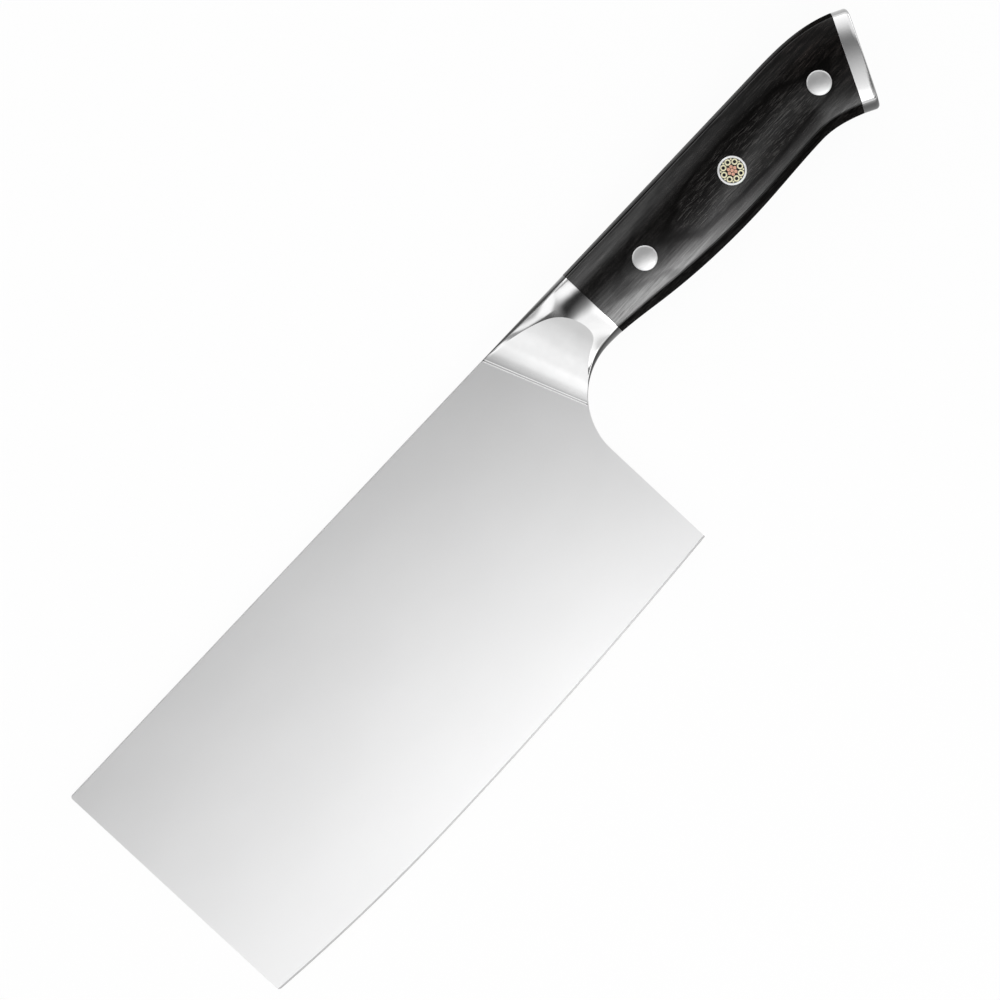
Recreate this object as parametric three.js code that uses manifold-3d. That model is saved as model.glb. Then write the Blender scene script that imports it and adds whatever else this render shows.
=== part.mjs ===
import * as THREE from "three";
import { mergeVertices } from "three/addons/utils/BufferGeometryUtils.js";
import Module from "manifold-3d";

// A seven-inch kitchen cleaver: a forged blade with bolster and full tang, two wooden scales,
// two cutler's rivets, a mosaic pin and a butt cap. Sizes are in millimetres.
// The knife is drawn with x from the handle joint towards the butt, y up to the spine, which lies
// at y = 0, and z through the thickness, with the mid-plane at z = 0.

// Blade
const edgeLength = 180.5;
const frontLean = 0.8;
const frontDepth = 82.5;
const heelDepth = 82.05;
const heelLean = -0.2;
const edgeSag = 3.65;
const heelToDeepest = 112.2;
const spineThickness = 2.3;
const edgeThickness = 0.3;
const bevelHeight = 0.55;
const spineChamfer = 0.25;
const frontCornerRadius = 1.1;

// Bolster and neck
const neckRadius = 21.2;
const neckRunout = 5.8;
const neckDepth = 23.55;
const bolsterLength = 33.4;
const plungeAngle = 20.5;
const plungeStep = 0.12;
const scallopRadius = 41.8;
const scallopTaper = 14;
const flankFullness = 1.3;
const creaseRise = { at: 0.5, value: 0.23, slope: 1.03 };

// Handle outline, side view
const spineSideLength = 108.5;
const bellySideLength = 94.2;
const forwardBelly = { at: 15, depth: 26.08, slope: -0.16 };
const swell = { at: 50.75, depth: 28.8 };
const waistSetback = 13.9;
const waistDepth = 27.9;
const buttDepth = 31.5;
const buttFlare = -0.45;
const spineDropRun = 28;
const spineDrop = 4.3;
const spineDropSlope = -0.45;

// Handle section
const jointThickness = 17;
const swellThickness = 19.2;
const waistThickness = 18.6;
const buttThickness = 19.6;
const jointWidening = 0.03;
const buttWidening = 0.04;
const sideCrown = 1.5;
const jointSpineRound = 1;
const spineRound = 1.2;
const jointBellyRound = 1.7;
const bellyRound = 2.6;
const roundingRun = 20;

// Butt cap
const capThickness = 5.2;
const capCornerRadius = 1.3;
const capRimRadius = 0.35;
const capDome = 0.2;

// Pins
const frontRivetFromJoint = 19.8;
const rearRivetFromCap = 10;
const pinBelowMiddle = 0.6;
const rivetHeadDiameter = 7.4;
const rivetHeadDepth = 2.4;
const rivetTubeDiameter = 5;
const rivetPinDiameter = 3.2;
const rivetEndGap = 0.6;
const mosaicDiameter = 8.5;
const mosaicWall = 0.55;
const brassTubeDiameter = 1.86;
const brassTubeBore = 1;
const brassRingStart = 27.8;
const resinFilm = 0.1;

// Clearances
const scaleGap = 0.03;
const holeGap = 0.04;
const tubeGap = 0.02;

// Facets
const bladeStations = 26;
const bolsterStations = 14;
const handleStations = 20;
const sideSteps = 12;
const roundSteps = 4;
const rivetFacets = 32;
const mosaicFacets = 36;
const tubeFacets = 14;
const rodFacets = 10;
const wheelFacets = 112;

const wasm = await Module();
wasm.setup();

function solidOf(geometry) {
  const bare = geometry.clone();
  bare.deleteAttribute("normal");
  bare.deleteAttribute("uv");
  const merged = mergeVertices(bare, 1e-4);
  const vertProperties = merged.getAttribute("position").array;
  const triVerts = new Uint32Array(merged.index.array);
  return new wasm.Manifold(new wasm.Mesh({ numProp: 3, vertProperties, triVerts }));
}

function geometryOf(solid) {
  const { vertProperties, triVerts } = solid.getMesh();
  const geometry = new THREE.BufferGeometry();
  geometry.setAttribute("position", new THREE.BufferAttribute(vertProperties, 3));
  geometry.setIndex(new THREE.BufferAttribute(triVerts, 1));
  geometry.computeVertexNormals();
  return geometry;
}

// A closed skin over rings of points that all run the same way round, with flat ends.
function loft(rings) {
  const count = rings[0].length;
  const indices = [];
  for (let r = 0; r + 1 < rings.length; r += 1) {
    for (let i = 0; i < count; i += 1) {
      const here = r * count + i;
      const next = r * count + ((i + 1) % count);
      indices.push(here, next, next + count, here, next + count, here + count);
    }
  }
  const last = (rings.length - 1) * count;
  for (let i = 1; i + 1 < count; i += 1) {
    indices.push(0, i + 1, i, last, last + i, last + i + 1);
  }
  const geometry = new THREE.BufferGeometry().setFromPoints(rings.flat());
  geometry.setIndex(indices);
  return geometry;
}

const mirrorRing = (ring) => ring.map((p) => new THREE.Vector3(p.x, p.y, -p.z)).reverse();

// A smooth curve through stations with a value and a slope each.
function flow(stations, x) {
  const last = stations.length - 2;
  const found = stations.findIndex((s, i) => i > last || x <= stations[i + 1].at);
  const a = stations[Math.min(found, last)];
  const b = stations[Math.min(found, last) + 1];
  const span = b.at - a.at;
  const t = (x - a.at) / span;
  const rise = t * t * (3 - 2 * t);
  const leave = t * (1 - t) * (1 - t) * span * (a.slope ?? 0);
  const arrive = t * t * (1 - t) * span * (b.slope ?? 0);
  return a.value * (1 - rise) + b.value * rise + leave - arrive;
}

// Side outline of the knife
const neckCentre = new THREE.Vector2(-neckRunout, -neckDepth - neckRadius);
const heelTop = new THREE.Vector2(neckCentre.x - neckRadius, neckCentre.y);
const heelCorner = new THREE.Vector2(heelTop.x - heelLean, -heelDepth);
const frontCorner = new THREE.Vector2(heelCorner.x - edgeLength, -frontDepth);
const frontTop = new THREE.Vector2(frontCorner.x - frontLean, 0);

// The edge sags below the straight line from the heel to the front corner.
function edgeLine(x) {
  const straight = heelCorner.y + ((heelCorner.x - x) / edgeLength) * (frontCorner.y - heelCorner.y);
  const deepestX = heelCorner.x - heelToDeepest;
  const end = x < deepestX ? frontCorner : heelCorner;
  const share = (x - deepestX) / (end.x - deepestX);
  return straight - edgeSag * (1 - share * share);
}

const bellyStations = [
  { at: -neckRunout, value: -neckDepth },
  { at: forwardBelly.at, value: -forwardBelly.depth, slope: forwardBelly.slope },
  { at: swell.at, value: -swell.depth },
  { at: bellySideLength - waistSetback, value: -waistDepth },
  { at: bellySideLength, value: -buttDepth, slope: buttFlare },
];

function bellyLine(x) {
  if (x >= -neckRunout) {
    return flow(bellyStations, x);
  }
  const run = x - neckCentre.x;
  return neckCentre.y + Math.sqrt(neckRadius * neckRadius - run * run);
}

const spineStations = [
  { at: spineSideLength - spineDropRun, value: 0 },
  { at: spineSideLength, value: -spineDrop, slope: spineDropSlope },
];
const spineLine = (x) => (x < spineStations[0].at ? 0 : flow(spineStations, x));

// The plunge line leaves the spine at a slant and ends on the neck.
const plungeTop = new THREE.Vector2(-bolsterLength, 0);
const plungeLean = THREE.MathUtils.degToRad(plungeAngle);
const plungeWay = new THREE.Vector2(Math.sin(plungeLean), -Math.cos(plungeLean));
const towardsHandle = new THREE.Vector2(Math.cos(plungeLean), Math.sin(plungeLean));
const toNeck = plungeTop.clone().sub(neckCentre);
const alongNeck = toNeck.dot(plungeWay);
const plungeLength = -alongNeck - Math.sqrt(alongNeck ** 2 - toNeck.lengthSq() + neckRadius ** 2);
const plungeBottom = plungeTop.clone().addScaledVector(plungeWay, plungeLength);

// The handle is a fan of straight ribs from spine to belly. Each rib carries a section: its half
// thickness in the middle and at the crease, and how far spine and belly are rounded inwards.
const thicknessStations = [
  { at: 0, value: jointThickness / 2, slope: jointWidening },
  { at: swell.at, value: swellThickness / 2 },
  { at: bellySideLength - waistSetback, value: waistThickness / 2 },
  { at: bellySideLength, value: buttThickness / 2, slope: buttWidening },
];
const spineRoundStations = [
  { at: 0, value: jointSpineRound },
  { at: roundingRun, value: spineRound },
];
const bellyRoundStations = [
  { at: 0, value: jointBellyRound },
  { at: roundingRun, value: bellyRound },
];

function rib(top, bottom, section) {
  const length = top.distanceTo(bottom);
  const way = bottom.clone().sub(top).divideScalar(length);
  return { top, way, length, ...section };
}

function handleRib(share) {
  const topX = share * spineSideLength;
  const bottomX = share * bellySideLength;
  const half = flow(thicknessStations, bottomX);
  const rounded = Math.min(bottomX, roundingRun);
  return rib(new THREE.Vector2(topX, spineLine(topX)), new THREE.Vector2(bottomX, bellyLine(bottomX)), {
    half,
    creaseHalf: half - sideCrown,
    spineInset: flow(spineRoundStations, rounded),
    bellyInset: flow(bellyRoundStations, rounded),
  });
}

// Along the bolster the crease rises from the blade to the joint, slowly at first.
const creaseStations = [{ at: 0, value: 0 }, creaseRise, { at: 1, value: 1 }];

// At the plunge line the rounding runs out to almost nothing.
const leastShare = 0.02;

function bolsterRib(share) {
  const topX = plungeTop.x * (1 - share);
  const bottomX = plungeBottom.x * (1 - share);
  const root = spineThickness / 2 + plungeStep;
  const jointHalf = jointThickness / 2;
  const inset = Math.max(share, leastShare);
  return rib(new THREE.Vector2(topX, 0), new THREE.Vector2(bottomX, bellyLine(bottomX)), {
    half: jointHalf - (jointHalf - root) * (1 - share) ** flankFullness,
    creaseHalf: root + (jointHalf - sideCrown - root) * flow(creaseStations, share),
    spineInset: jointSpineRound * inset,
    bellyInset: jointBellyRound * inset,
  });
}

// Half of a rib's section, from the spine round over the side to the belly, above a given height.
function sideProfile(form, from) {
  const points = [];
  const low = form.spineInset;
  const high = form.length - form.bellyInset;
  const middle = (low + high) / 2;
  for (let i = 0; i < roundSteps; i += 1) {
    const z = from + ((form.creaseHalf - from) * i) / roundSteps;
    points.push([form.spineInset * (z / form.creaseHalf) ** 2, z]);
  }
  for (let i = 0; i <= sideSteps; i += 1) {
    const along = low + ((high - low) * i) / sideSteps;
    const off = (along - middle) / (high - middle);
    points.push([along, form.half - (form.half - form.creaseHalf) * off * off]);
  }
  for (let i = roundSteps - 1; i >= 0; i -= 1) {
    const z = from + ((form.creaseHalf - from) * i) / roundSteps;
    points.push([form.length - form.bellyInset * (z / form.creaseHalf) ** 2, z]);
  }
  return points;
}

const onRib = (form, along, z) =>
  new THREE.Vector3(form.top.x + form.way.x * along, form.top.y + form.way.y * along, z);

const upperRing = (form, from) => sideProfile(form, from).map(([along, z]) => onRib(form, along, z));

function fullRing(form) {
  const upper = upperRing(form, 0);
  const lower = upper.slice(1, -1).map((p) => new THREE.Vector3(p.x, p.y, -p.z));
  return [...upper, ...lower.reverse()];
}

function plateRing(form, half, inset) {
  const ends = [inset, form.length - inset];
  return [
    onRib(form, ends[0], -half),
    onRib(form, ends[0], half),
    onRib(form, ends[1], half),
    onRib(form, ends[1], -half),
  ];
}

const shares = (count) => Array.from({ length: count + 1 }, (_, i) => i / count);
const handleRibs = shares(handleStations).map(handleRib);
const capRib = handleRibs[handleStations];
const handleForm = solidOf(loft(handleRibs.map(fullRing)));

// Blade, ground flat on both sides from the spine to a narrow edge bevel
const spineHalf = spineThickness / 2;
const grindSlope = (spineHalf - edgeThickness / 2) / heelDepth;
const faceHalf = (y) => spineHalf + grindSlope * y;

function bladeRing(x) {
  const edge = edgeLine(x);
  const shoulder = edge + bevelHeight;
  const upper = [
    [0, spineHalf - spineChamfer],
    [-spineChamfer, faceHalf(-spineChamfer)],
    [shoulder, faceHalf(shoulder)],
  ].map(([y, z]) => new THREE.Vector3(x, y, z));
  const lower = upper.map((p) => new THREE.Vector3(p.x, p.y, -p.z)).reverse();
  return [...upper, new THREE.Vector3(x, edge, 0), ...lower];
}

function bladeOutline() {
  const margin = 2;
  const tongueEnds = [0.8, 0.2];
  const tongue = tongueEnds.map((share) => {
    const onLine = plungeTop.clone().addScaledVector(plungeWay, share * plungeLength);
    return onLine.addScaledVector(towardsHandle, margin);
  });
  const below = Math.min(heelCorner.y, frontCorner.y) - edgeSag - margin;
  const turn = frontCornerRadius;
  const frontWay = frontCorner.clone().sub(frontTop).normalize();
  const frontLow = frontCorner.clone().addScaledVector(frontWay, -turn);
  const frontHigh = frontTop.clone().addScaledVector(frontWay, turn);
  const plungeEnd = Math.atan2(plungeBottom.y - neckCentre.y, plungeBottom.x - neckCentre.x);
  const shape = new THREE.Shape();
  shape.moveTo(plungeTop.x, margin);
  shape.lineTo(frontTop.x + turn, margin);
  shape.lineTo(frontTop.x + turn, 0);
  shape.quadraticCurveTo(frontTop.x, 0, frontHigh.x, frontHigh.y);
  shape.lineTo(frontLow.x, frontLow.y);
  shape.quadraticCurveTo(frontCorner.x, frontCorner.y, frontCorner.x + turn, edgeLine(frontCorner.x + turn));
  shape.lineTo(frontCorner.x + turn, below);
  shape.lineTo(heelCorner.x, below);
  shape.lineTo(heelCorner.x, heelCorner.y);
  shape.lineTo(heelTop.x, heelTop.y);
  shape.absarc(neckCentre.x, neckCentre.y, neckRadius, Math.PI, plungeEnd, true);
  tongue.forEach((point) => shape.lineTo(point.x, point.y));
  shape.lineTo(plungeTop.x, 0);
  return shape;
}

function groundBlade() {
  const spare = 2;
  const start = frontTop.x - spare;
  const run = plungeBottom.x + bolsterLength / 2 - start;
  const rings = shares(bladeStations).map((share) => bladeRing(start + run * share));
  const depth = spineThickness + spare;
  const prism = { depth, bevelEnabled: false, curveSegments: 16 };
  const outline = new THREE.ExtrudeGeometry(bladeOutline(), prism);
  outline.translate(0, 0, -depth / 2);
  return solidOf(loft(rings)).intersect(solidOf(outline));
}

// Bolster, forged full and then scalloped on both sides by a tapered wheel along the plunge line
function grindingWheel(side) {
  const taper = THREE.MathUtils.degToRad(scallopTaper);
  const toApex = scallopRadius / Math.tan(taper);
  const wide = toApex + plungeLength;
  const narrow = toApex - 2 * plungeLength;
  const way = new THREE.Vector3(plungeWay.x, plungeWay.y, side * grindSlope * plungeWay.y).normalize();
  const across = new THREE.Vector3(towardsHandle.x, towardsHandle.y, 0);
  const up = new THREE.Vector3().crossVectors(way, across).normalize().multiplyScalar(side);
  const axis = way.clone().multiplyScalar(Math.cos(taper)).addScaledVector(up, -Math.sin(taper));
  const low = new THREE.Vector3(plungeTop.x, 0, side * (spineHalf + plungeStep));
  const apex = low.addScaledVector(way, toApex);
  const centre = apex.addScaledVector(axis, (-Math.cos(taper) * (wide + narrow)) / 2);
  const [small, large] = [narrow * Math.sin(taper), wide * Math.sin(taper)];
  const wheel = new THREE.CylinderGeometry(small, large, (wide - narrow) * Math.cos(taper), wheelFacets);
  wheel.applyQuaternion(new THREE.Quaternion().setFromUnitVectors(new THREE.Vector3(0, 1, 0), axis));
  wheel.translate(centre.x, centre.y, centre.z);
  return solidOf(wheel);
}

function scallopedBolster() {
  const rings = shares(bolsterStations).map((share) => fullRing(bolsterRib(share)));
  return solidOf(loft(rings)).subtract(grindingWheel(1)).subtract(grindingWheel(-1));
}

function tang() {
  const rootShare = 0.9;
  const rootInset = 1;
  const rooted = plateRing(bolsterRib(rootShare), spineHalf, rootInset);
  return solidOf(loft([rooted, ...handleRibs.map((form) => plateRing(form, spineHalf, 0))]));
}

// Pins stand square to the mid-plane, a little below the middle of the handle.
function pinPlace(x) {
  const y = (spineLine(x) + bellyLine(x)) / 2 - pinBelowMiddle;
  return new THREE.Vector3(x, y, 0);
}

const capMiddleX = capRib.top.x + (capRib.way.x * capRib.length) / 2;
const frontRivetPlace = pinPlace(frontRivetFromJoint);
const rearRivetPlace = pinPlace(capMiddleX - rearRivetFromCap);
const mosaicPlace = pinPlace((frontRivetPlace.x + rearRivetPlace.x) / 2);
const pinSpare = 4;
const longest = Math.max(jointThickness, swellThickness, waistThickness, buttThickness) + pinSpare;

function rod(diameter, length, facets) {
  const geometry = new THREE.CylinderGeometry(diameter / 2, diameter / 2, length, facets);
  return geometry.rotateX(Math.PI / 2);
}

function tube(diameter, bore, length, facets) {
  const [outer, inner, end] = [diameter / 2, bore / 2, length / 2];
  const corners = [[inner, -end], [outer, -end], [outer, end], [inner, end], [inner, -end]];
  const profile = corners.map(([r, h]) => new THREE.Vector2(r, h));
  return new THREE.LatheGeometry(profile, facets).rotateX(Math.PI / 2);
}

const placed = (geometry, place) => geometry.clone().translate(place.x, place.y, place.z);
const groundFlush = (geometry) => solidOf(geometry).intersect(handleForm);

// Height of the handle's side above the mid-plane at a pin
const sideHeight = (place) => handleRib(place.x / capMiddleX).half;

// Holes: straight through for the mosaic pin, stepped for the rivets' heads
function rivetHole(place, side) {
  const seat = sideHeight(place) - rivetHeadDepth - holeGap;
  const through = solidOf(placed(rod(rivetTubeDiameter + 2 * holeGap, longest, rivetFacets), place));
  const head = rod(rivetHeadDiameter + 2 * holeGap, longest, rivetFacets);
  head.translate(0, 0, side * (seat + longest / 2));
  return through.add(solidOf(placed(head, place)));
}

function scale(side) {
  const inner = spineHalf + scaleGap;
  const trim = scaleGap / bellySideLength;
  const ribs = shares(handleStations).map((share) => handleRib(trim + share * (1 - 2 * trim)));
  const rings = ribs.map((form) => upperRing(form, inner));
  const body = solidOf(loft(side > 0 ? rings : rings.map(mirrorRing)));
  const pinHole = rod(mosaicDiameter + 2 * holeGap, longest, mosaicFacets);
  return body
    .subtract(rivetHole(frontRivetPlace, side))
    .subtract(rivetHole(rearRivetPlace, side))
    .subtract(solidOf(placed(pinHole, mosaicPlace)));
}

function drilledBlade() {
  const rivetBore = rod(rivetTubeDiameter + 2 * holeGap, longest, rivetFacets);
  const pinHole = rod(mosaicDiameter + 2 * holeGap, longest, mosaicFacets);
  return groundBlade()
    .add(scallopedBolster())
    .add(tang())
    .subtract(solidOf(placed(rivetBore, frontRivetPlace)))
    .subtract(solidOf(placed(rivetBore, rearRivetPlace)))
    .subtract(solidOf(placed(pinHole, mosaicPlace)));
}

// A cutler's rivet: a pin with a head that is pressed into a tube with a head
function rivetProfile(corners) {
  const profile = corners.map(([r, h]) => new THREE.Vector2(r, h));
  return new THREE.LatheGeometry(profile, rivetFacets).rotateX(Math.PI / 2);
}

function rivetMale(place) {
  const seat = sideHeight(place) - rivetHeadDepth;
  const [head, shank, top] = [rivetHeadDiameter / 2, rivetPinDiameter / 2, longest / 2];
  const tip = -seat + rivetEndGap;
  const corners = [[0, tip], [shank, tip], [shank, seat], [head, seat], [head, top], [0, top]];
  return groundFlush(placed(rivetProfile(corners), place));
}

function rivetFemale(place) {
  const seat = sideHeight(place) - rivetHeadDepth;
  const [head, shank, low] = [rivetHeadDiameter / 2, rivetTubeDiameter / 2, -longest / 2];
  const bore = rivetPinDiameter / 2 + tubeGap;
  const mouth = seat - tubeGap;
  const corners = [[0, low], [head, low], [head, -seat], [shank, -seat], [shank, mouth], [bore, mouth]];
  const bottom = [[bore, -seat], [0, -seat]];
  return groundFlush(placed(rivetProfile([...corners, ...bottom]), place));
}

// The mosaic pin: a ring of brass tubes round a bundle of copper rods, cast in black resin
function ringOf(count, radius, startDegrees) {
  return Array.from({ length: count }, (_, i) => {
    const turn = THREE.MathUtils.degToRad(startDegrees) + (2 * Math.PI * i) / count;
    return new THREE.Vector3(radius * Math.cos(turn), radius * Math.sin(turn), 0);
  });
}

// As many brass tubes as fit side by side, wires that touch two of them and the outer tube, and
// copper rods that fill the space left in the middle, all a film of resin apart
const castRadius = mosaicDiameter / 2 - mosaicWall - tubeGap;
const brassRadius = brassTubeDiameter / 2;
const brassRingRadius = castRadius - brassRadius - resinFilm;
const brassTubeCount = Math.floor(Math.PI / Math.asin((brassRadius + resinFilm / 2) / brassRingRadius));
const halfPitch = Math.PI / brassTubeCount;
const wireReach = castRadius - resinFilm;
const tubeReach = brassRadius + resinFilm;
const gapWireRingRadius =
  ((wireReach + tubeReach) ** 2 - brassRingRadius ** 2) /
  (2 * (wireReach + tubeReach - brassRingRadius * Math.cos(halfPitch)));
const gapWireDiameter = 2 * (wireReach - gapWireRingRadius);
const copperReach = brassRingRadius - brassRadius - resinFilm;
const rodsRoundOne = 6;
const rodsAcross = 3;
const copperPitch = (2 * copperReach + resinFilm) / rodsAcross;
const copperRodDiameter = copperPitch - resinFilm;

const brassPlaces = ringOf(brassTubeCount, brassRingRadius, brassRingStart);
const wirePlaces = ringOf(brassTubeCount, gapWireRingRadius, brassRingStart + 180 / brassTubeCount);
const copperPlaces = [new THREE.Vector3(), ...ringOf(rodsRoundOne, copperPitch, 0)];
const inMosaic = (geometry, spot) => groundFlush(placed(placed(geometry, spot), mosaicPlace));

function mosaicResin() {
  const clear = (diameter) => diameter + 2 * tubeGap;
  const block = rod(2 * castRadius, longest, mosaicFacets);
  const cuts = [
    ...brassPlaces.map((spot) => placed(rod(clear(brassTubeDiameter), 2 * longest, tubeFacets), spot)),
    ...wirePlaces.map((spot) => placed(rod(clear(gapWireDiameter), 2 * longest, rodFacets), spot)),
    ...copperPlaces.map((spot) => placed(rod(clear(copperRodDiameter), 2 * longest, rodFacets), spot)),
  ];
  const cast = cuts.reduce((left, cut) => left.subtract(solidOf(cut)), solidOf(block));
  return solidOf(placed(geometryOf(cast), mosaicPlace)).intersect(handleForm);
}

// The butt cap carries the handle's last section on, with rounded corners and a slightly domed face.
function capRing(out, endInset, sideInset) {
  const outward = new THREE.Vector2(-capRib.way.y, capRib.way.x);
  const top = capRib.top.clone().addScaledVector(outward, out).addScaledVector(capRib.way, endInset);
  const bottom = top.clone().addScaledVector(capRib.way, capRib.length - 2 * endInset);
  return fullRing(
    rib(top, bottom, {
      half: capRib.half - sideInset,
      creaseHalf: capRib.creaseHalf - sideInset,
      spineInset: capRib.spineInset,
      bellyInset: capRib.bellyInset,
    }),
  );
}

function endCap() {
  const rings = [capRing(scaleGap, 0, 0)];
  const rimSteps = 5;
  const rim = capThickness - capDome;
  for (let i = 0; i <= rimSteps; i += 1) {
    const turn = ((Math.PI / 2) * i) / rimSteps;
    const fromRim = capCornerRadius * (1 - Math.sin(turn));
    const run = Math.max(capRimRadius - fromRim, 0);
    const sideInset = capRimRadius - Math.sqrt(capRimRadius ** 2 - run ** 2);
    rings.push(capRing(rim - fromRim, capCornerRadius * (1 - Math.cos(turn)), sideInset));
  }
  const domeSteps = 3;
  for (let i = 1; i <= domeSteps; i += 1) {
    const share = i / (domeSteps + 1);
    const endInset = capCornerRadius + (capRib.creaseHalf - capCornerRadius) * share;
    const sideInset = capRimRadius + (capRib.creaseHalf - capRimRadius) * share;
    rings.push(capRing(capThickness - capDome * (1 - share) ** 2, endInset, sideInset));
  }
  return solidOf(loft(rings));
}

const finishes = {
  satinSteel: { color: 0xd2d3d4, roughness: 0.28, metalness: 1 },
  polishedSteel: { color: 0xdcdddd, roughness: 0.12, metalness: 1 },
  blackWood: { color: 0x1d1b1a, roughness: 0.35, metalness: 0 },
  brass: { color: 0xcdb57a, roughness: 0.3, metalness: 1 },
  copper: { color: 0xc98a6c, roughness: 0.3, metalness: 1 },
  resin: { color: 0x12100d, roughness: 0.4, metalness: 0 },
};

const knife = new THREE.Group();

function addPiece(name, solid, finish) {
  const mesh = new THREE.Mesh(geometryOf(solid), new THREE.MeshStandardMaterial(finishes[finish]));
  mesh.name = name;
  knife.add(mesh);
}

function addRow(name, geometry, spots, finish) {
  spots.forEach((spot, i) => addPiece(`${name}_${i + 1}`, inMosaic(geometry, spot), finish));
}

addPiece("blade", drilledBlade(), "satinSteel");
addPiece("scale_upper", scale(1), "blackWood");
addPiece("scale_lower", scale(-1), "blackWood");
addPiece("front_rivet_male", rivetMale(frontRivetPlace), "satinSteel");
addPiece("front_rivet_female", rivetFemale(frontRivetPlace), "satinSteel");
addPiece("rear_rivet_male", rivetMale(rearRivetPlace), "satinSteel");
addPiece("rear_rivet_female", rivetFemale(rearRivetPlace), "satinSteel");

const outerTube = tube(mosaicDiameter, mosaicDiameter - 2 * mosaicWall, longest, mosaicFacets);
const brassTube = tube(brassTubeDiameter, brassTubeBore, longest, tubeFacets);
const tubeCore = rod(brassTubeBore - 2 * tubeGap, longest, tubeFacets);
const copperRod = rod(copperRodDiameter, longest, rodFacets);
const gapWire = rod(gapWireDiameter, longest, rodFacets);
addPiece("mosaic_outer_tube", inMosaic(outerTube, new THREE.Vector3()), "polishedSteel");
addPiece("mosaic_resin", mosaicResin(), "resin");
addRow("mosaic_brass_tube", brassTube, brassPlaces, "brass");
addRow("mosaic_tube_core", tubeCore, brassPlaces, "resin");
addRow("mosaic_copper_rod", copperRod, copperPlaces, "copper");
addRow("mosaic_gap_wire", gapWire, wirePlaces, "brass");
addPiece("end_cap", endCap(), "polishedSteel");

// The knife lies on its side, with the middle of its underside at the origin.
const bounds = new THREE.Box3().setFromObject(knife);
const middle = bounds.getCenter(new THREE.Vector3());
knife.position.set(-middle.x, -middle.y, -bounds.min.z);

const cleaver = new THREE.Group();
cleaver.add(knife);

export default cleaver;
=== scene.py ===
import math

import bpy
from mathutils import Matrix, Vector


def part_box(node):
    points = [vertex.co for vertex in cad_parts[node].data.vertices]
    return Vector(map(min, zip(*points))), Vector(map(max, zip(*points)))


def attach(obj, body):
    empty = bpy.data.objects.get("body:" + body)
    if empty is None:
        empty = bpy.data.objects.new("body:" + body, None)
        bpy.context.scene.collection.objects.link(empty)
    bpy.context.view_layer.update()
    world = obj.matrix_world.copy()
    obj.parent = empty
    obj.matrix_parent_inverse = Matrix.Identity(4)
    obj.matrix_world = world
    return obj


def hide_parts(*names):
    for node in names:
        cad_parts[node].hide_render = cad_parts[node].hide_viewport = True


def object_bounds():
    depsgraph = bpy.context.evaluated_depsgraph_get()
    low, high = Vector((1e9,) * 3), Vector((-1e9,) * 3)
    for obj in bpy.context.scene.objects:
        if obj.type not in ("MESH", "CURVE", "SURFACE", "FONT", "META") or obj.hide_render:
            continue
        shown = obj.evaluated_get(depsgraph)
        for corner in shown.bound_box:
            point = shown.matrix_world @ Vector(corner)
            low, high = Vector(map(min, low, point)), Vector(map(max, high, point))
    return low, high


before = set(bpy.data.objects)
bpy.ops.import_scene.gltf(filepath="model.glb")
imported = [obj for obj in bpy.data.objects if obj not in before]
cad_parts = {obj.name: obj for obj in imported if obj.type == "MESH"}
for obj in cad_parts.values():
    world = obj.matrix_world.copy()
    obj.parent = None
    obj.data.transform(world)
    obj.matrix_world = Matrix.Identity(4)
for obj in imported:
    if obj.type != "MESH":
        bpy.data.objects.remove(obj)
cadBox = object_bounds()
print("frame loaded:", len(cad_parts), "CAD nodes")

# The knife is drawn in millimetres, with x from the handle joint to the butt, y up to the spine at 0
# and z through the thickness, with the mid-plane at 0.
millimetre = 0.001
scaleGap = 0.03  # of the scales, to the joint and to the tang
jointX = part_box("scale_upper")[0].x - scaleGap * millimetre
spineY = cadBox[1].y
midZ = (cadBox[0].z + cadBox[1].z) / 2


def inFrame(x, y, z):
    return Vector((jointX + x * millimetre, spineY + y * millimetre, midZ + z * millimetre))


def toKnife(point):
    return ((point.x - jointX) / millimetre, (point.y - spineY) / millimetre, (point.z - midZ) / millimetre)


def flow(stations, x):  # a smooth curve through (place, value, slope) stations
    last = len(stations) - 2
    k = next((i for i in range(last + 1) if x <= stations[i + 1][0]), last)
    (xa, va, sa), (xb, vb, sb) = stations[k], stations[k + 1]
    span = xb - xa
    t = (x - xa) / span
    rise = t * t * (3 - 2 * t)
    return va * (1 - rise) + vb * rise + span * t * (1 - t) * (sa * (1 - t) - sb * t)


def smooth(low, high, x):
    t = min(max((x - low) / (high - low), 0), 1)
    return t * t * (3 - 2 * t)


def steps(count):
    return [i / count for i in range(count + 1)]


# Mesh work, all through the operators that a modeller would use by hand

mesh = {"merge": 2e-7, "degenerate": 1e-7, "softSegments": 2, "softAngle": 50}  # metres and degrees


def bare():
    if bpy.context.object and bpy.context.object.mode != "OBJECT":
        bpy.ops.object.mode_set(mode="OBJECT")
    bpy.ops.object.select_all(action="DESELECT")


def choose(piece):
    bare()
    piece.select_set(True)
    bpy.context.view_layer.objects.active = piece


def tidyMesh(piece):
    choose(piece)
    bpy.ops.object.mode_set(mode="EDIT")
    bpy.ops.mesh.select_mode(type="VERT")
    bpy.ops.mesh.select_all(action="SELECT")
    bpy.ops.mesh.remove_doubles(threshold=mesh["merge"])
    bpy.ops.mesh.dissolve_degenerate(threshold=mesh["degenerate"])
    bpy.ops.mesh.select_all(action="DESELECT")
    bpy.ops.mesh.select_non_manifold()
    bpy.ops.mesh.fill_holes(sides=0)
    bpy.ops.mesh.select_all(action="SELECT")
    bpy.ops.mesh.normals_make_consistent(inside=False)
    bpy.ops.object.mode_set(mode="OBJECT")


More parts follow.
